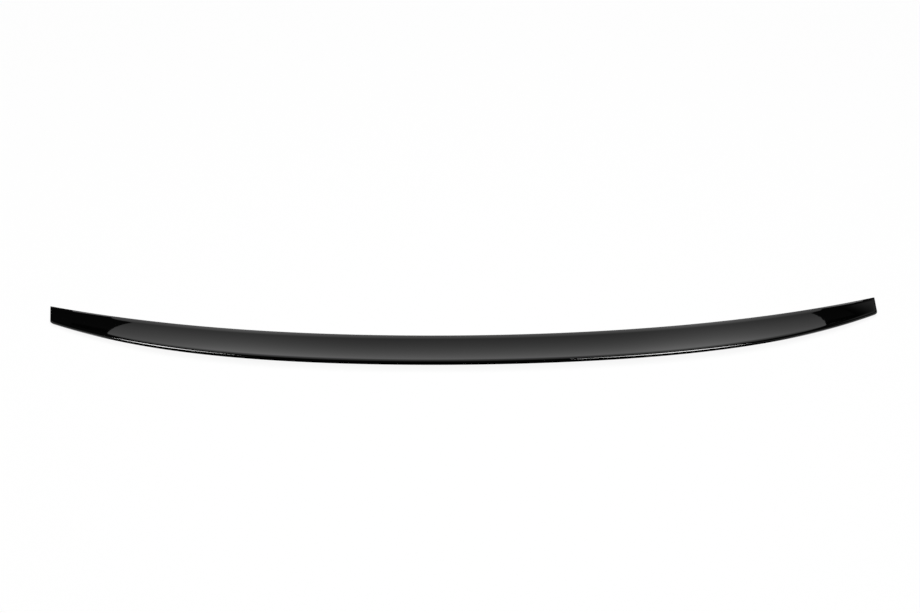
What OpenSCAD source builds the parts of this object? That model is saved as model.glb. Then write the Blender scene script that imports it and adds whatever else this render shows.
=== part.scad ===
// Lip spoiler for a car's boot lid: one long moulded blade, stuck down along the lid's rear edge.
// X runs across the car, -Y points to the rear and +Z is up. Z = 0 is the plane of the car's paint.
// Lengths are in millimetres and angles in degrees.

/* [Overall size] */
// Width across the car, from one end to the other
width = 1180; // [1060:10:1250]
// Depth in the middle, from the front edge to the trailing edge
middle_depth = 77.5; // [70:0.5:86]
// Depth at the two ends
end_depth = 42; // [40:0.5:52]
// How far forward the front edge runs between its middle and its ends
sweep = 78.5; // [40:0.5:100]
// Height of the crest over the underside, in the middle
middle_height = 14.4; // [12:0.2:18]
// Height of the crest over the underside, at the ends
end_height = 6.3; // [6:0.1:8]
// How late the blade narrows: a higher value keeps it wide for longer
narrowing = 5.1; // [3:0.1:6]

/* [Section] */
// Height of the deck at its lowest, where the front edge's roll meets it
nose_height = 3.6; // [3.4:0.1:4.2]
// Length of the roll along the front edge
nose_length = 11; // [9:0.5:12]
// How far the roll falls towards the front edge, in the middle
nose_drop = 2.2; // [1.3:0.1:2.6]
// How far the roll falls towards the front edge, at the ends
nose_drop_ends = 2.6; // [1.6:0.1:2.8]
// Radius that breaks the front edge
edge_radius = 0.6; // [0.4:0.1:0.7]
// Radius over the crown of the crest
crown_radius = 15; // [10:1:18]
// Angle by which the crown falls behind its highest point
crown_fall = 5; // [2:1:8]
// Radius of the trailing edge, under the crown
trailing_radius = 2; // [1.6:0.1:2.6]
// Angle by which the rear face leans in under the crest
rear_lean = 46.5; // [36:0.5:52]
// Radius of the rolled edge at the two ends, and the thickness of the end walls
end_radius = 5; // [4:0.5:6]

/* [Hollow underside] */
// Wall thickness under the deck
wall = 2.4; // [2:0.1:2.6]
// Width of the flat land behind the front edge
front_land = 13; // [12:0.5:15]
// Width of the flat land in front of the rear face
rear_land = 9; // [8:0.5:10]
// Number of cross ribs
rib_count = 15; // [13:2:21]
// Thickness of a rib
rib_thickness = 2; // [1.4:0.2:3]
// How far the ribs stop short of the underside
rib_recess = 1.2; // [1:0.1:1.6]

/* [Tape] */
// Thickness of the foam tape
tape_thickness = 1.1; // [0.8:0.1:1.6]
// Bare strip of land beside the tape
tape_margin = 1.5; // [1:0.1:2.5]
// Gap between the left and the right length of tape
tape_gap = 4; // [2:1:12]
// Distance from the tape to the end of the blade
tape_end = 14; // [8:1:30]

/* [Hidden] */
half = width / 2;
sweep_rounding = 0.21;    // share of the sweep that is kept for the outer ends
nose_curve = 1.5;         // how the roll steepens towards the front: 1 is straight, 2 a parabola
end_drop = 0.5;           // share of the height that the end roll takes away
embed = 1.2;              // how deep a rib reaches into the walls around it
bay_steps = 4;            // stations between two ribs
roll_steps = 5;           // stations round an end
edge_steps = 2;
nose_steps = 4;
deck_steps = 9;
crown_steps = 3;
trailing_steps = 6;
roof_steps = 7;
tape_steps = 16;
rib_pitch = (width - 2 * end_radius) / (rib_count + 1);

function mix(a, b, t) = a + (b - a) * t;

// Plan of the blade: where the front edge lies, and how deep and high the blade is at x
function taper(x) = pow(abs(x) / half, narrowing);
function swept(x) = sweep * mix(pow(x / half, 2), pow(x / half, 4), sweep_rounding);
function front_y(x) = (middle_depth - sweep) / 2 + swept(x);
function depth(x) = mix(middle_depth, end_depth, taper(x));
function height(x) = mix(middle_height, end_height, taper(x));

// Distances called back are measured back from the front edge
function polar(back, z, radius, angle) = [back + radius * cos(angle), z + radius * sin(angle)];

// The roll along the front edge, and the small radius that breaks the edge itself
function nose_fall(x) = mix(nose_drop, nose_drop_ends, pow(x / half, 2));
function nose_z(x, back) = nose_height - nose_fall(x) * pow(max(0, 1 - back / nose_length), nose_curve);
function nose_slope(x) = atan(nose_fall(x) * nose_curve / nose_length);
function edge_back(x) = edge_radius * (1 - sin(nose_slope(x)));
function edge_z(x) = nose_z(x, edge_back(x)) - edge_radius * cos(nose_slope(x));

// The crown is an arc about one centre, and the trailing edge a tighter one that runs on from it
function crown_back(x) = depth(x) - trailing_radius - (crown_radius - trailing_radius) * sin(crown_fall);
function crown_z(x) = height(x) - crown_radius;
function trailing_z(x) = crown_z(x) + (crown_radius - trailing_radius) * cos(crown_fall);
function trailing(x, angle) = polar(depth(x) - trailing_radius, trailing_z(x), trailing_radius, angle);

// The deck rises from the nose to the crown like a ski jump
function deck_slope(x) = atan(2 * (height(x) - nose_height) / (crown_back(x) - nose_length));
function deck_end(x) = polar(crown_back(x), crown_z(x), crown_radius, 90 + deck_slope(x));
function deck_z(x, back) = let (end = deck_end(x), t = (back - nose_length) / (end[0] - nose_length))
    mix(nose_height, end[1], t * t);

// Foot of the rear face, which leans in under the trailing edge
function foot(x) = let (top = trailing(x, -rear_lean)) top[0] - top[1] * tan(rear_lean);

// Outline of the outer skin at x, from the foot of the nose over the deck to the foot of the rear face
function skin(x) = concat(
    [[0, 0]],
    [for (i = [0:edge_steps]) polar(edge_radius, edge_z(x), edge_radius,
        mix(180, 90 + nose_slope(x), i / edge_steps))],
    [for (i = [1:nose_steps]) let (b = mix(edge_back(x), nose_length, i / nose_steps)) [b, nose_z(x, b)]],
    [for (i = [1:deck_steps]) let (b = mix(nose_length, deck_end(x)[0], i / deck_steps)) [b, deck_z(x, b)]],
    [for (i = [1:crown_steps]) polar(crown_back(x), crown_z(x), crown_radius,
        mix(90 + deck_slope(x), 90 - crown_fall, i / crown_steps))],
    [for (i = [1:trailing_steps]) trailing(x, mix(90 - crown_fall, -rear_lean, i / trailing_steps))],
    [[foot(x), 0]]);

// Outline of the hollow at x, from the front land over its roof to the rear land
function corner(x) = depth(x) - 2 * trailing_radius - wall;
function roof_z(x, back) = deck_z(x, back) - wall / cos(deck_slope(x));
function roof(x) = [for (i = [0:roof_steps]) let (b = mix(front_land, corner(x), i / roof_steps))
    [b, roof_z(x, b)]];
function hollow(x) = concat([[front_land, 0]], roof(x), [[foot(x) - rear_land, 0]]);

// The end roll lowers the skin and draws its rear corner in; roll runs from 0 to 1 round the end
function rolled(p, x, roll) = [
    p[0] - end_radius * roll * p[0] / depth(x),
    p[1] * (1 - end_drop * roll)];
function placed(x, p) = [x, front_y(x) - p[0], tape_thickness + p[1]];

// Stations along X, each with its roll
function end_roll(side) = [for (i = [1:roll_steps]) let (a = 90 * i / roll_steps)
    [side * (half - end_radius * (1 - sin(a))), 1 - cos(a)]];
span = (rib_count + 1) * bay_steps;
middle_stations = [for (i = [0:span]) [mix(end_radius - half, half - end_radius, i / span), 0]];
left_roll = end_roll(-1);
stations = concat(
    [for (i = [roll_steps - 1:-1:0]) left_roll[i]],
    middle_stations,
    end_roll(1));

last_station = len(stations) - 1;
last_skin = len(skin(0)) - 1;
last_hollow = len(hollow(0)) - 1;
first = roll_steps;                    // first and last station of the hollow
last = last_station - roll_steps;

// Numbers of the points: on the skin, and on the hollow after all of the skin's
function outer(i, j) = i * (last_skin + 1) + j;
function inner(i, k) = (last_station + 1) * (last_skin + 1) + (i - first) * (last_hollow + 1) + k;
function quad(a, b, c, d) = [[a, c, b], [a, d, c]];
// An outline is closed across its open side by a fan from each of its two ends
function fan(v) = let (e = len(v) - 1, c = floor(e / 2)) concat(
    [for (i = [1:c - 1]) [v[0], v[i + 1], v[i]]],
    [for (i = [c:e - 2]) [v[e], v[i + 1], v[i]]],
    [[v[0], v[e], v[c]]]);
function flipped(faces) = [for (f = faces) [f[0], f[2], f[1]]];

blade_points = concat(
    [for (s = stations) for (p = skin(s[0])) placed(s[0], rolled(p, s[0], s[1]))],
    [for (i = [first:last]) let (x = stations[i][0]) for (p = hollow(x)) placed(x, p)]);

// Underside of an end, across its roll
function roll_land(i) = quad(outer(i, 0), outer(i + 1, 0), outer(i + 1, last_skin), outer(i, last_skin));
// Underside between the last station of the end wall and the first of the hollow
function end_land(i, e, mirrored) = let (faces = [
    [outer(i, 0), outer(e, 0), inner(e, 0)],
    [outer(i, 0), inner(e, 0), inner(e, last_hollow)],
    [outer(i, 0), inner(e, last_hollow), outer(i, last_skin)],
    [outer(i, last_skin), inner(e, last_hollow), outer(e, last_skin)]])
    mirrored ? flipped(faces) : faces;

blade_faces = concat(
    [for (i = [0:last_station - 1]) for (j = [0:last_skin - 1])
        each quad(outer(i, j), outer(i, j + 1), outer(i + 1, j + 1), outer(i + 1, j))],
    [for (i = [first:last - 1]) for (k = [0:last_hollow - 1])
        each quad(inner(i, k), inner(i + 1, k), inner(i + 1, k + 1), inner(i, k + 1))],
    [for (i = [first:last - 1]) each concat(
        quad(outer(i, 0), outer(i + 1, 0), inner(i + 1, 0), inner(i, 0)),
        quad(inner(i, last_hollow), inner(i + 1, last_hollow), outer(i + 1, last_skin), outer(i, last_skin)))],
    [for (i = [0:first - 2]) each roll_land(i)],
    [for (i = [last + 1:last_station - 1]) each roll_land(i)],
    end_land(first - 1, first, true),
    end_land(last + 1, last, false),
    fan([for (j = [last_skin:-1:0]) outer(0, j)]),
    fan([for (j = [0:last_skin]) outer(last_station, j)]),
    fan([for (k = [0:last_hollow]) inner(first, k)]),
    fan([for (k = [last_hollow:-1:0]) inner(last, k)]));

module shell() {
    polyhedron(points = blade_points, faces = blade_faces, convexity = 6);
}

module rib(x) {
    edge = foot(x) - rear_land;
    lean = (corner(x) - edge) / roof_z(x, corner(x));
    top = [for (p = roof(x)) [p[0], p[1] + wall / 2]];
    top_z = top[roof_steps][1];
    outline = concat(
        [[front_land - embed, rib_recess], [front_land - embed, top[0][1]]],
        top,
        [for (z = [top_z, rib_recess]) [edge + lean * z + embed, z]]);
    translate([x - rib_thickness / 2, 0, tape_thickness])
        rotate([90, 0, 90])
            linear_extrude(height = rib_thickness)
                polygon([for (p = outline) [front_y(x) - p[0], p[1]]]);
}

module blade() {
    color([0.03, 0.03, 0.035]) union() {
        shell();
        for (i = [1:rib_count]) rib(end_radius - half + i * rib_pitch);
    }
}

// One length of tape, from the middle gap to the end; near and far are its edges back from the front edge
module tape(side, rear) {
    from = tape_gap / 2;
    to = half - tape_end;
    xs = [for (i = [0:tape_steps]) side * mix(from, to, i / tape_steps)];
    function near(x) = (rear ? foot(x) - rear_land : 0) + tape_margin;
    function far(x) = (rear ? foot(x) : front_land) - tape_margin;
    color([0.32, 0.32, 0.33]) linear_extrude(height = tape_thickness)
        polygon(concat(
            [for (x = xs) [x, front_y(x) - near(x)]],
            [for (i = [tape_steps:-1:0]) let (x = xs[i]) [x, front_y(x) - far(x)]]));
}

blade();
tape(-1, false);  // tape_front_left
tape(1, false);  // tape_front_right
tape(-1, true);  // tape_rear_left
tape(1, true);  // tape_rear_right
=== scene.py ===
# %% [markdown]
# # Lip spoiler for a boot lid
# The real part is one long, thin moulding in gloss black plastic, stuck down along the rear edge
# of a car's boot lid. It has no detail to hide behind: it is all surface, so this lesson is about
# a clean swept skin, a deep black paint, and the few things that the paint mirrors. The packed
# model is loaded first, and every new piece lies in its frame: X runs across the car, Y points
# forward, and the underside of the tape is at Z = 0.

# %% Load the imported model
import bpy
import math
from collections import Counter
from mathutils import Matrix, Vector


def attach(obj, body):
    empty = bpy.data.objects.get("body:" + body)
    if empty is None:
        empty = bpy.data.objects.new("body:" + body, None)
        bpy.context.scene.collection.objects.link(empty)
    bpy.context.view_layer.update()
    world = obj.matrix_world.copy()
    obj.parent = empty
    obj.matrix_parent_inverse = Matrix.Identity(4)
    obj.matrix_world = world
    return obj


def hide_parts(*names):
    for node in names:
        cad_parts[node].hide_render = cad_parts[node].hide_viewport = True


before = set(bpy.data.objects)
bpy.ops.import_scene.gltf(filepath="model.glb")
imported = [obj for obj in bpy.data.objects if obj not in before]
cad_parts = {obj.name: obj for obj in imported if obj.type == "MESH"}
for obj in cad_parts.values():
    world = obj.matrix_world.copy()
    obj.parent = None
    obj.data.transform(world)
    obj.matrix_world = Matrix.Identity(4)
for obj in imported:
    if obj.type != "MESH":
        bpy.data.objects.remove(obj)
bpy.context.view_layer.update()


print("nodes:", ", ".join(sorted(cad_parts)))

# %% [markdown]
# ## The camera
# The photograph looks at the part from behind and above with a long lens, so its two ends are
# almost the same size. A camera could be dragged into place by eye, but three angles and a distance
# say the same thing exactly, and they also give the size of a metre in the picture. The roll is the
# small tilt that makes the right end sit higher in the picture than the left one.

# %% Camera
PICTURE_WIDTH = 920                  # pixels
SENSOR_WIDTH = 36.0                  # mm
pixels_per_metre = 704.9             # at the part
distance = 8.0
view_height = math.radians(38)       # above the horizon
view_side = math.radians(-3.92)      # the camera stands a little to the left
view_roll = math.radians(-1.79)
aim_height = 0.008                   # about half the height of the part
part_right, part_down = 6.8, 25.45   # from the middle of the picture, in pixels

to_camera = Vector((math.sin(view_side) * math.cos(view_height),
                    -math.cos(view_side) * math.cos(view_height),
                    math.sin(view_height)))
level = Vector((math.cos(view_side), math.sin(view_side), 0))
upright = to_camera.cross(level)
right = level * math.cos(view_roll) - upright * math.sin(view_roll)
up = level * math.sin(view_roll) + upright * math.cos(view_roll)
aim = (Vector((0, 0, aim_height)) - right * (part_right / pixels_per_metre)
       + up * (part_down / pixels_per_metre))

camera = bpy.data.objects.new("camera", bpy.data.cameras.new("camera"))
bpy.context.scene.collection.objects.link(camera)
turn = Matrix((right, up, to_camera)).transposed().to_4x4()
camera.matrix_world = Matrix.Translation(aim + to_camera * distance) @ turn
camera.data.lens = SENSOR_WIDTH * pixels_per_metre * distance / PICTURE_WIDTH
camera.data.clip_end = 60
bpy.context.scene.camera = camera
bpy.context.scene.view_settings.view_transform = "Standard"
print("lens in mm:", round(camera.data.lens, 1))

# %% [markdown]
# ## The blade's form, in numbers
# A blade like this is drawn as a section that changes along a plan curve. Its points could be pulled
# about by hand, but a mirror finish shows every uneven one, so a few smooth rules say where the front
# edge runs, how deep and how high the blade is, and how its rear face leans in under the crest. They
# are written once, in millimetres, with x for the place along the blade and b for the distance back
# from its front edge, and every surface of the blade is made from them. The sizes are those of the
# packed blade, except that at the very ends the front edge rolls down up to 0.4 mm further, which
# lets its pale line run out to the corners.

# %% Sizes
half = 590.0
middle_depth, end_depth = 77.5, 42.0
middle_height, end_height = 14.4, 6.3
sweep, sweep_rounding, narrowing = 78.5, 0.21, 5.1
nose_height, nose_length, nose_curve = 3.6, 11.0, 1.5
nose_drop, nose_drop_ends, edge_radius = 2.2, 3.0, 0.6
crown_radius, crown_fall = 15.0, math.radians(5)
trailing_radius, rear_lean = 2.0, math.radians(46.5)
end_radius, end_drop = 5.0, 0.5
wall, front_land, rear_land = 2.4, 13.0, 9.0
rib_count, rib_thickness, rib_recess = 15, 2.0, 1.2
tape_thickness = 1.1
print("width in mm:", 2 * half, "ribs:", rib_count)


# %% Plan and heights along the blade
def mix(a, b, t):
    return a + (b - a) * t


def polar(back, z, radius, angle):
    return back + radius * math.cos(angle), z + radius * math.sin(angle)


def front_y(x):
    u = x / half
    return (middle_depth - sweep) / 2 + sweep * mix(u ** 2, u ** 4, sweep_rounding)


def depth(x):
    return mix(middle_depth, end_depth, abs(x / half) ** narrowing)


def height(x):
    return mix(middle_height, end_height, abs(x / half) ** narrowing)


print("front edge, middle and end, in mm:", round(front_y(0), 1), round(front_y(half), 1))


# %% The roll along the front edge
def nose_fall(x):
    return mix(nose_drop, nose_drop_ends, (x / half) ** 4)


def nose_z(x, b):
    return nose_height - nose_fall(x) * max(0, 1 - b / nose_length) ** nose_curve


def nose_slope(x):
    return math.atan(nose_fall(x) * nose_curve / nose_length)


def edge_back(x):
    return edge_radius * (1 - math.sin(nose_slope(x)))


def edge_z(x):
    return nose_z(x, edge_back(x)) - edge_radius * math.cos(nose_slope(x))


print("slope at the front edge, in degrees:", round(math.degrees(nose_slope(0)), 1))


# %% The crown, the trailing edge and the deck that rises to them
def crown_back(x):
    return depth(x) - trailing_radius - (crown_radius - trailing_radius) * math.sin(crown_fall)


def crown_z(x):
    return height(x) - crown_radius


def trailing(x, angle):
    z = crown_z(x) + (crown_radius - trailing_radius) * math.cos(crown_fall)
    return polar(depth(x) - trailing_radius, z, trailing_radius, angle)


def deck_slope(x):
    return math.atan(2 * (height(x) - nose_height) / (crown_back(x) - nose_length))


def deck_end(x):
    return polar(crown_back(x), crown_z(x), crown_radius, math.pi / 2 + deck_slope(x))


def deck_z(x, b):
    end, top = deck_end(x)
    return mix(nose_height, top, ((b - nose_length) / (end - nose_length)) ** 2)


def foot(x):
    b, z = trailing(x, -rear_lean)
    return b - z * math.tan(rear_lean)


print("deck slope at the crest, middle and end, in degrees:",
      round(math.degrees(deck_slope(0)), 1), round(math.degrees(deck_slope(half)), 1))

# %% [markdown]
# ## One ring round the blade
# Cut across, the blade is a thin shell that is open below. A solid blade could be hollowed with a
# Boolean, but a shell drawn as one closed outline keeps its faces in even rows. The outline goes over
# the rolled front edge, up the hollow deck, round the crest and down the rear face, then back along
# the inside. Fine steps matter in the two rolls, because the gloss shows every flat between points.

# %% Outline of the skin
edge_steps, nose_steps, deck_steps, crown_steps, trailing_steps = 4, 14, 36, 12, 20


def skin(x):
    points = [(0.0, 0.0)]
    for i in range(edge_steps + 1):
        a = mix(math.pi, math.pi / 2 + nose_slope(x), i / edge_steps)
        points.append(polar(edge_radius, edge_z(x), edge_radius, a))
    for i in range(1, nose_steps + 1):
        b = mix(edge_back(x), nose_length, i / nose_steps)
        points.append((b, nose_z(x, b)))
    for i in range(1, deck_steps + 1):
        b = mix(nose_length, deck_end(x)[0], i / deck_steps)
        points.append((b, deck_z(x, b)))
    for i in range(1, crown_steps + 1):
        a = mix(math.pi / 2 + deck_slope(x), math.pi / 2 - crown_fall, i / crown_steps)
        points.append(polar(crown_back(x), crown_z(x), crown_radius, a))
    for i in range(1, trailing_steps + 1):
        points.append(trailing(x, mix(math.pi / 2 - crown_fall, -rear_lean, i / trailing_steps)))
    points.append((foot(x), 0.0))
    return points


skin_size = len(skin(0))
print("points over the skin:", skin_size)

# %% Outline of the hollow
roof_steps = 12


def hollow(x):
    """The inside, from the rear land up to the roof and forward to the front land."""
    corner = depth(x) - 2 * trailing_radius - wall
    rise = wall / math.cos(deck_slope(x))
    points = [(foot(x) - rear_land, 0.0)]
    for i in range(roof_steps + 1):
        b = mix(corner, front_land, i / roof_steps)
        points.append((b, deck_z(x, b) - rise))
    points.append((front_land, 0.0))
    return points


def filled(points, floor_z):
    """The hollow's outline where it is filled down to a height, as in a rib or an end wall."""
    (edge, _), (corner, top) = points[0], points[1]
    at_floor = edge + (corner - edge) * floor_z / top
    return [(min(b, at_floor), floor_z) if z > floor_z else (b, z) for b, z in points]


ring_size = skin_size + len(hollow(0))
print("points in a ring:", ring_size)

# %% [markdown]
# ## Stations along the blade
# Underneath, cross ribs keep the thin moulding from twisting. They could be separate plates, but the
# real ones come out of the same mould, so here they are part of the same skin. The rings stand side
# by side across the car, and each has a place, an amount of end roll, and a height down to which its
# hollow is filled. Where that height changes, at a rib or an end wall, two rings share one place, and
# the face between them is the upright side of the rib.

# %% Stations
bay_steps, roll_steps = 14, 12
open_hollow = math.inf
inner = half - end_radius
pitch = 2 * inner / (rib_count + 1)
roll = [(half - end_radius * (1 - math.sin(a)), 1 - math.cos(a))
        for a in (math.pi / 2 * i / roll_steps for i in range(1, roll_steps + 1))]

stations = [(-x, amount, 0.0) for x, amount in reversed(roll)] + [(-inner, 0.0, 0.0)]
for bay in range(rib_count + 1):
    start = -inner + bay * pitch + (rib_thickness / 2 if bay else 0)
    stop = -inner + (bay + 1) * pitch - (rib_thickness / 2 if bay < rib_count else 0)
    if bay:
        stations.append((start, 0.0, rib_recess))
    stations += [(mix(start, stop, i / bay_steps), 0.0, open_hollow) for i in range(bay_steps + 1)]
    if bay < rib_count:
        stations.append((stop, 0.0, rib_recess))
stations += [(inner, 0.0, 0.0)] + [(x, amount, 0.0) for x, amount in roll]
print("stations:", len(stations), "rib pitch in mm:", round(pitch, 1))


# %% The rings in metres, in the frame of the part
def ring(x, amount, fill):
    inside = hollow(x)
    if fill < open_hollow:
        inside = filled(inside, fill)
    return [Vector((x, front_y(x) - b + end_radius * amount * b / depth(x),
                    tape_thickness + z * (1 - end_drop * amount))) / 1000
            for b, z in skin(x) + inside]


rings = [ring(*s) for s in stations]
print("rings:", len(rings), "of", len(rings[0]), "points")

# %% [markdown]
# ## The blade
# Extrude, bevel and bend can't change a section all along a curve, so the blade starts as a flat grid
# that has one column for each station and one row for each point of the ring. Every point of the grid
# is then set on its ring. The grid's last row falls on its first, and merging the doubles closes it
# to a tube. The two ends are closed with a face each. The rows also tell the lacquered skin from the
# bare inside, so the faces get their finish while the grid is still flat.

# %% A flat grid with the two finishes
bpy.ops.object.select_all(action="DESELECT")
columns = len(stations) - 1
bpy.ops.mesh.primitive_grid_add(x_subdivisions=columns, y_subdivisions=ring_size,
                                size=1, location=(0, 0, 0))
blade = bpy.context.object
blade.name = "blade_skin"
lacquer, bare = (bpy.data.materials.new(name) for name in ("black_lacquer", "bare_moulding"))
for material in (lacquer, bare):
    blade.data.materials.append(material)
for face in blade.data.polygons:
    row = int((face.center.y + 0.5) * ring_size)
    face.material_index = 0 if row < skin_size - 1 else 1
print("grid:", columns, "by", ring_size, "faces")

# %% The grid set on the rings
for v in blade.data.vertices:
    i = round((v.co.x + 0.5) * columns)
    j = round((v.co.y + 0.5) * ring_size)
    v.co = rings[i][j % ring_size]
print("width in mm:", round(1000 * (rings[-1][0].x - rings[0][0].x), 1))

# %% Seam and ends closed
MERGE_DISTANCE = 0.000002
bpy.ops.object.mode_set(mode="EDIT")
bpy.ops.mesh.select_all(action="SELECT")
bpy.ops.mesh.remove_doubles(threshold=MERGE_DISTANCE)
bpy.ops.mesh.select_mode(type="EDGE")
bpy.ops.mesh.select_all(action="DESELECT")
bpy.ops.mesh.select_non_manifold(extend=False, use_wire=False, use_multi_face=False,
                                 use_non_contiguous=False, use_verts=False)
bpy.ops.mesh.edge_face_add()
bpy.ops.mesh.select_mode(type="VERT")
bpy.ops.mesh.select_all(action="SELECT")
bpy.ops.mesh.normals_make_consistent(inside=False)
bpy.ops.object.mode_set(mode="OBJECT")
print("blade:", len(blade.data.vertices), "points,", len(blade.data.polygons), "faces")

# %% [markdown]
# A moulded edge is never knife sharp. A bevel on every edge would only cut the smooth skin into
# strips, so it is held to the corners by an angle: the crest and the front edge have their real rolls
# already, and the edges of the lands and ribs get a third of a millimetre, which is about what a
# mould leaves.

# %% Soft edges and smooth shading
soft = blade.modifiers.new("soft_edges", "BEVEL")
soft.width = 0.0003
soft.segments = 2
soft.limit_method = "ANGLE"
soft.angle_limit = math.radians(35)
bpy.ops.object.modifier_apply(modifier="soft_edges")
bpy.ops.object.shade_smooth_by_angle(angle=math.radians(32))
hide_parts("blade")
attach(blade, "root")
blade.data.calc_loop_triangles()
uses = Counter(key for face in blade.data.polygons for key in face.edge_keys)
print("blade:", len(blade.data.loop_triangles), "triangles,",
      sum(n != 2 for n in uses.values()), "open edges")

# %% [markdown]
# ## Finishes
# Each finish here is one Principled shader with a few noise patterns. An image could carry the same
# detail, but a pattern made by numbers has no seam and stays sharp near by. All the patterns are
# fixed to the object's own coordinates, and a few helpers lead them to the shader's sockets.


# %% Helpers for finishes
def new_node(tree, kind, **values):
    """A node with its sockets and settings set by name, an underscore standing for a space."""
    node = tree.nodes.new(kind)
    for name, value in values.items():
        socket = name.replace("_", " ")
        if socket in node.inputs:
            node.inputs[socket].default_value = value
        else:
            setattr(node, name, value)
    return node


def shader_of(material):
    material.use_nodes = True
    return material.node_tree, material.node_tree.nodes["Principled BSDF"]


def pattern(tree, kind, output, **values):
    place = new_node(tree, "ShaderNodeTexCoord")
    texture = new_node(tree, kind, **values)
    tree.links.new(place.outputs["Object"], texture.inputs["Vector"])
    return texture.outputs[output]


def noise(tree, scale, detail):
    return pattern(tree, "ShaderNodeTexNoise", "Fac", Scale=scale, Detail=detail)


# %% Helpers from a pattern to a socket
def spread(tree, source, low, high):
    """A value from low to high as the pattern runs from 0 to 1."""
    ramp = new_node(tree, "ShaderNodeMapRange", To_Min=low, To_Max=high)
    tree.links.new(source, ramp.inputs["Value"])
    return ramp.outputs["Result"]


def grey(tree, shade, socket):
    tint = new_node(tree, "ShaderNodeCombineColor")
    for channel in ("Red", "Green", "Blue"):
        tree.links.new(shade, tint.inputs[channel])
    tree.links.new(tint.outputs["Color"], socket)


def relief(tree, source, strength, deep, socket):
    bump = new_node(tree, "ShaderNodeBump", Strength=strength, Distance=deep)
    tree.links.new(source, bump.inputs["Height"])
    tree.links.new(bump.outputs["Normal"], socket)


# %% [markdown]
# Gloss black is not a black without features. A flat black with no roughness would look like wet
# glass, so the lacquer has a faint orange peel, a wave of a few millimetres that bends the
# reflections a little, and its depth of black and its gloss differ slightly from place to place.

# %% Black lacquer
tree, paint = shader_of(lacquer)
paint.inputs["IOR"].default_value = 1.5
grey(tree, spread(tree, noise(tree, 9.0, 3.0), 0.0014, 0.0026), paint.inputs["Base Color"])
tree.links.new(spread(tree, noise(tree, 14.0, 4.0), 0.02, 0.05), paint.inputs["Roughness"])
relief(tree, noise(tree, 260.0, 1.0), 0.05, 0.0002, paint.inputs["Normal"])
print("black lacquer:", len(tree.nodes), "nodes")

# %% [markdown]
# Underneath, where no lacquer reaches, the moulding shows its own satin black, with the fine grain
# that an unpolished mould leaves. It could share the lacquer, but the change of finish is what tells
# the outside of such a part from its inside.

# %% Bare moulding underneath
tree, plastic = shader_of(bare)
patches = noise(tree, 22.0, 3.0)
grey(tree, spread(tree, patches, 0.007, 0.013), plastic.inputs["Base Color"])
tree.links.new(spread(tree, patches, 0.38, 0.52), plastic.inputs["Roughness"])
relief(tree, noise(tree, 1400.0, 2.0), 0.25, 0.0001, plastic.inputs["Normal"])
print("bare moulding:", len(tree.nodes), "nodes")

# %% [markdown]
# Four lengths of foam tape hold the part to the car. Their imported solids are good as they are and
# only lack a finish. The foam is a dull dark grey, and its open cells are drawn by a Voronoi pattern,
# which makes round pits where a noise would make waves.

# %% Foam on the tapes
foam = bpy.data.materials.new("acrylic_foam")
tree, body = shader_of(foam)
body.inputs["Roughness"].default_value = 0.8
grey(tree, spread(tree, noise(tree, 900.0, 3.0), 0.07, 0.13), body.inputs["Base Color"])
cells = pattern(tree, "ShaderNodeTexVoronoi", "Distance", Scale=2600.0)
relief(tree, cells, 0.4, 0.0001, body.inputs["Normal"])
for name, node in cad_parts.items():
    if name.startswith("tape"):
        node.data.materials.clear()
        node.data.materials.append(foam)
        print(name, "takes the foam")

# %% [markdown]
# ## Stage
# A gloss black part has hardly a colour of its own: what it shows is what stands round it. In the
# photograph it sees a pale oval diffuser and a low ledge behind it, a dark room above, a dark table
# in front, and two lamps over the camera's side. One large soft light could stand for them all, but
# then every band in the gloss would move with it, so boards and lamps are sheets of their own that
# only the gloss sees. The floor and the world are pale to the camera, as in a cut-out picture.


# %% Helpers for the stage
def emptied(owner, kind):
    """The tree of a material or a world with only its output left, and the output's socket."""
    owner.use_nodes = True
    owner.node_tree.nodes.clear()
    return owner.node_tree, new_node(owner.node_tree, kind).inputs["Surface"]


def combined(tree, kind, one, other):
    """One sum on two sources, each an output or a plain number."""
    node = new_node(tree, "ShaderNodeMath", operation=kind)
    for source, socket in ((one, node.inputs[0]), (other, node.inputs[1])):
        if isinstance(source, (int, float)):
            socket.default_value = source
        else:
            tree.links.new(source, socket)
    return node.outputs[0]


def rays_in(tree):
    """One switch for rays that come straight or through glass, and one for rays off a gloss."""
    rays = new_node(tree, "ShaderNodeLightPath").outputs
    direct = combined(tree, "ADD", rays["Is Camera Ray"], rays["Is Transmission Ray"])
    return direct, rays["Is Glossy Ray"]


# %% [markdown]
# The floor is one large plane. A plain white one would take the shadow but fill the gloss with white,
# so its paint asks what kind of ray sees it. To the camera it glows nearly white and a little matt
# paint adds the shadow. To the gloss it is a dark table, with a soft pale patch behind the blade and
# one off each end, painted as a glow that stands for the light the bright backdrop casts there.

# %% Floor
floor_side = 30
bpy.ops.object.select_all(action="DESELECT")
bpy.ops.mesh.primitive_plane_add(size=floor_side, location=(0, 0, 0))
floor = bpy.context.object
floor.name = "floor"
floor_paint = bpy.data.materials.new("floor_paint")
floor.data.materials.append(floor_paint)
tree, surface = emptied(floor_paint, "ShaderNodeOutputMaterial")
direct, glossy = rays_in(tree)
print("floor:", floor_side, "m square")

# %% The floor's matt paint
to_the_eye, in_the_gloss = 0.16, 0.004
matt = new_node(tree, "ShaderNodeBsdfDiffuse")
shade = new_node(tree, "ShaderNodeMix", data_type="RGBA")
for socket, tone in ((6, to_the_eye), (7, in_the_gloss)):    # a Mix node's two colours
    shade.inputs[socket].default_value = (tone, tone, tone, 1)
tree.links.new(glossy, shade.inputs[0])
tree.links.new(shade.outputs[2], matt.inputs["Color"])
print("matt paint:", to_the_eye, "to the eye,", in_the_gloss, "in the gloss")


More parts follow.
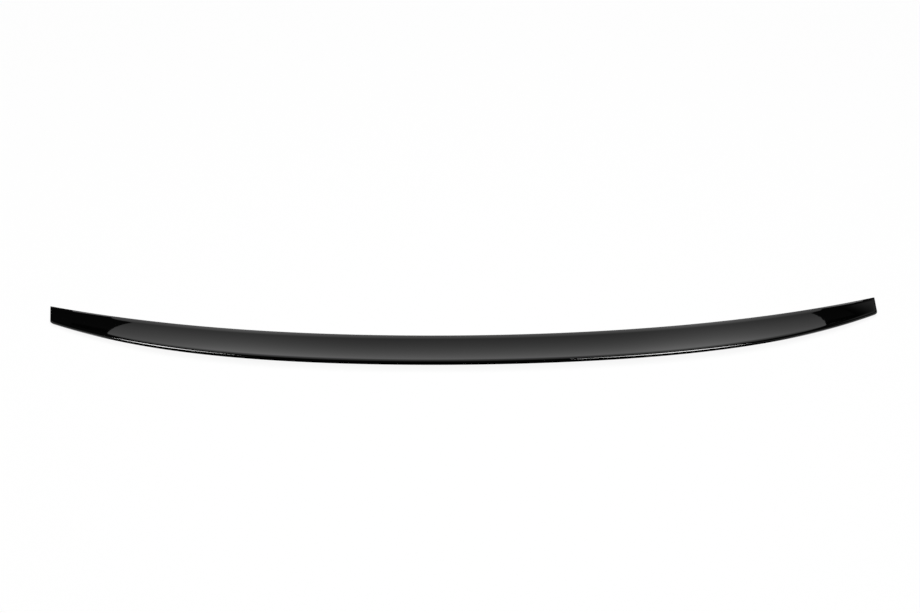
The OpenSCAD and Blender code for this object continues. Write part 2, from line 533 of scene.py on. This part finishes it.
# %% Helpers for a glow that varies over a piece
def step(tree, source, start, stop, low, high):
    """A value that runs smoothly from low to high while the source runs from start to stop."""
    ramp = new_node(tree, "ShaderNodeMapRange", interpolation_type="SMOOTHSTEP",
                    From_Min=start, From_Max=stop, To_Min=low, To_Max=high)
    tree.links.new(source, ramp.inputs["Value"])
    return ramp.outputs["Result"]


def axes(tree):
    """The X and Y of a point on the object."""
    place = new_node(tree, "ShaderNodeTexCoord")
    split = new_node(tree, "ShaderNodeSeparateXYZ")
    tree.links.new(place.outputs["Object"], split.inputs["Vector"])
    return split.outputs["X"], split.outputs["Y"]


# %% The floor's glow and its painted light
pale = 0.92
across, ahead = axes(tree)      # each step below: from place to place in metres, and its strengths
along_blade = combined(tree, "MULTIPLY", step(tree, across, -0.55, -0.53, 0.0, 1.0),
                       step(tree, across, 0.575, 0.59, 1.0, 0.0))
# painted light: pale patches on the table behind the blade and off its ends, a glow that only the
# gloss sees
painted_light_behind = combined(tree, "MULTIPLY", step(tree, ahead, -0.02, 0.12, 0.0, 0.45), along_blade)
off_ends = combined(tree, "ADD", step(tree, across, -0.54, -0.50, 0.65, 0.0),
                    step(tree, across, 0.42, 0.54, 0.0, 0.8))
painted_light_beside = combined(tree, "MULTIPLY", step(tree, ahead, 0.02, 0.08, 1.0, 0.0), off_ends)
painted_floor_light = combined(tree, "MULTIPLY", combined(tree, "ADD", painted_light_behind, painted_light_beside), glossy)
total = combined(tree, "ADD", combined(tree, "MULTIPLY", direct, pale), painted_floor_light)

glow = new_node(tree, "ShaderNodeEmission")
both = new_node(tree, "ShaderNodeAddShader")
tree.links.new(total, glow.inputs["Strength"])
tree.links.new(matt.outputs[0], both.inputs[0])
tree.links.new(glow.outputs[0], both.inputs[1])
tree.links.new(both.outputs[0], surface)
print("floor paint:", len(tree.nodes), "nodes")

# %% [markdown]
# Past the floor and above it lies the world. It is pale to the camera for the same reason as the
# floor, and nearly black to the gloss, so that nothing but the boards and lamps shows in the part.

# %% World
room_in_gloss = 0.015
world = bpy.data.worlds.new("studio")
bpy.context.scene.world = world
tree, surface = emptied(world, "ShaderNodeOutputWorld")
direct, glossy = rays_in(tree)
room = new_node(tree, "ShaderNodeBackground")
dark = combined(tree, "MULTIPLY", glossy, room_in_gloss)
tree.links.new(combined(tree, "ADD", dark, direct), room.inputs["Strength"])
tree.links.new(room.outputs[0], surface)
print("world:", room_in_gloss, "in the gloss")

# %% [markdown]
# Boards and lamps are flat sheets that glow. Area lamps would show in the gloss too, but evenly all
# over, while a sheet with its own material can fade and be brighter in one place. The sheets stand
# outside the picture, so the camera, shadows and matt paint leave them out.


# %% A helper for sheets that show in the gloss
def lit(sheet, centre, toward):
    """Turn a flat sheet to face a point, and give it a glow."""
    sheet.location = centre
    sheet.rotation_euler = (Vector(toward) - Vector(centre)).to_track_quat("Z", "Y").to_euler()
    for ray in ("camera", "diffuse", "shadow", "transmission"):
        setattr(sheet, "visible_" + ray, False)
    glowing = bpy.data.materials.new(sheet.name + "_glow")
    sheet.data.materials.append(glowing)
    tree, surface = emptied(glowing, "ShaderNodeOutputMaterial")
    light = new_node(tree, "ShaderNodeEmission")
    tree.links.new(light.outputs[0], surface)
    print(sheet.name, "stands at", centre)
    return tree, light.inputs["Strength"]


# %% [markdown]
# The diffuser is the large pale shape that the whole deck mirrors. A rectangle would give it straight
# sides, but in the photograph they lean and round off at the top, each in its own way. So a circle of
# many points is squared up on each side by a power, and the right side also flares a little. It glows
# most along its foot and where lamps stand behind it, and falls off toward the low corners.

# %% The oval diffuser's outline
oval_top = 0.46
left_side, right_side = (0.513, 3.5, 0.0), (0.507, 5.0, 0.055)    # half width, squareness, flare
bpy.ops.object.select_all(action="DESELECT")
bpy.ops.mesh.primitive_circle_add(vertices=96, radius=1, fill_type="NGON", location=(0, 0, 0))
oval = bpy.context.object
oval.name = "oval_diffuser"
for v in oval.data.vertices:
    half_width, squareness, flare = right_side if v.co.x > 0 else left_side
    x, z = (math.copysign(abs(c) ** (2 / squareness), c) for c in v.co[:2])
    v.co = (half_width * x * (1 + flare * z), oval_top * max(z, 0), 0)
print("oval diffuser:", len(oval.data.vertices), "points,", oval_top, "m high")

# %% The oval diffuser's glow
tree, strength = lit(oval, (0.022, 0.35, 0.0), (0.022, 0.0, 0.0))
across, upward = axes(tree)
total = step(tree, upward, 0.0, oval_top, 0.59, 0.27)
for centre, reach, gain in ((-0.35, 0.22, 0.24), (0.36, 0.17, 0.31)):
    away = combined(tree, "ABSOLUTE", combined(tree, "SUBTRACT", across, centre), 0.0)
    total = combined(tree, "MULTIPLY", total, step(tree, away, 0.0, reach, 1 + gain, 1.0))
outward = combined(tree, "ABSOLUTE", across, 0.0)
lost = combined(tree, "MULTIPLY", step(tree, outward, 0.28, 0.50, 0.0, 0.32),
                step(tree, upward, 0.02, 0.20, 1.0, 0.2))
total = combined(tree, "MULTIPLY", total, combined(tree, "SUBTRACT", 1.0, lost))
tree.links.new(total, strength)

# %% [markdown]
# Two lamps over the camera's side make the thin bright line on the crest. The crest is so tightly
# curved that it squeezes a whole lamp to a thread, so a lamp's width sets how far the line runs. A
# thin strip would end the line abruptly, and a tall lamp lets it fade.


# %% A helper for boards, and the two lamps
def board(name, centre, size, toward):
    bpy.ops.object.select_all(action="DESELECT")
    bpy.ops.mesh.primitive_plane_add(size=1, location=(0, 0, 0))
    sheet = bpy.context.object
    sheet.name = name
    sheet.scale = (size[0], size[1], 1)
    bpy.ops.object.transform_apply(location=False, rotation=False, scale=True)
    return lit(sheet, centre, toward)


lamp_strength = 38
for name, centre, size, toward in (
        ("left_lamp", (-1.18, -0.76, 1.80), (0.60, 0.95), (-0.41, -0.04, 0)),
        ("right_lamp", (0.86, -0.93, 1.80), (0.56, 0.95), (0.30, -0.06, 0))):
    _, strength = board(name, centre, size, toward)
    strength.default_value = lamp_strength

# %% [markdown]
# Two smaller boards finish what the deck mirrors. A dim card past the right end gives the deck's
# corner there its grey. A low ledge runs along the foot of the diffuser, a little higher at the right
# end, and the rolled front edge turns it into the pale rim of the blade. Both could be part of the
# diffuser, but as boards of their own they can be moved without changing the deck.

# %% The dim card
tree, strength = board("dim_card", (0.66, 0.352, 0.17), (0.16, 0.26), (0.66, 0, 0.17))
across, upward = axes(tree)
total = combined(tree, "MULTIPLY", step(tree, across, -0.08, -0.02, 0.0, 1.0),
                 step(tree, upward, -0.12, 0.08, 0.14, 0.26))
tree.links.new(total, strength)

# %% The low ledge
tree, strength = board("low_ledge", (0.0225, 0.354, 0.05), (1.135, 0.10), (0.0225, 0, 0.05))
across, upward = axes(tree)
raised = step(tree, across, 0.48, 0.54, 0.0, 0.017)
above = combined(tree, "SUBTRACT", upward, raised)
tree.links.new(step(tree, above, -0.019, -0.005, 0.75, 0.0), strength)

# %% [markdown]
# The photograph's view sees nothing to the sides of the part, yet a part that mirrors an empty room
# is a black shape without form. Four pale boards, two off the ends and two at the front corners,
# give it an outline from those sides. One ring of light would do as well, but it would also show
# between the boards that the photograph's view does see.

# %% Four pale boards beside the blade
for name, place_x, place_y, toward_y, foot_glow in (
        ("left_board", -1.5, -0.1, -0.1, 0.5), ("right_board", 1.5, -0.1, -0.1, 0.5),
        ("left_corner_board", -1.7, -1.9, 0.0, 0.4), ("right_corner_board", 1.7, -1.9, 0.0, 0.4)):
    tree, strength = board(name, (place_x, place_y, 0.75), (2.0, 1.5), (0, toward_y, 0.75))
    across, upward = axes(tree)
    tree.links.new(step(tree, upward, -0.55, 0.75, foot_glow, 0.02), strength)

# %% [markdown]
# One large soft lamp overhead lights what is matt: the floor, the foam and the bare moulding. The
# gloss doesn't see it, as it would wash out the deck.

# %% Soft light overhead
overhead = bpy.data.objects.new("overhead", bpy.data.lights.new("overhead", "AREA"))
overhead.data.shape = "RECTANGLE"
overhead.data.size, overhead.data.size_y = 3.0, 3.0
overhead.data.energy = 60
overhead.location = (0, -0.3, 3.0)
overhead.visible_glossy = False
bpy.context.scene.collection.objects.link(overhead)
print("overhead:", overhead.data.energy, "W")
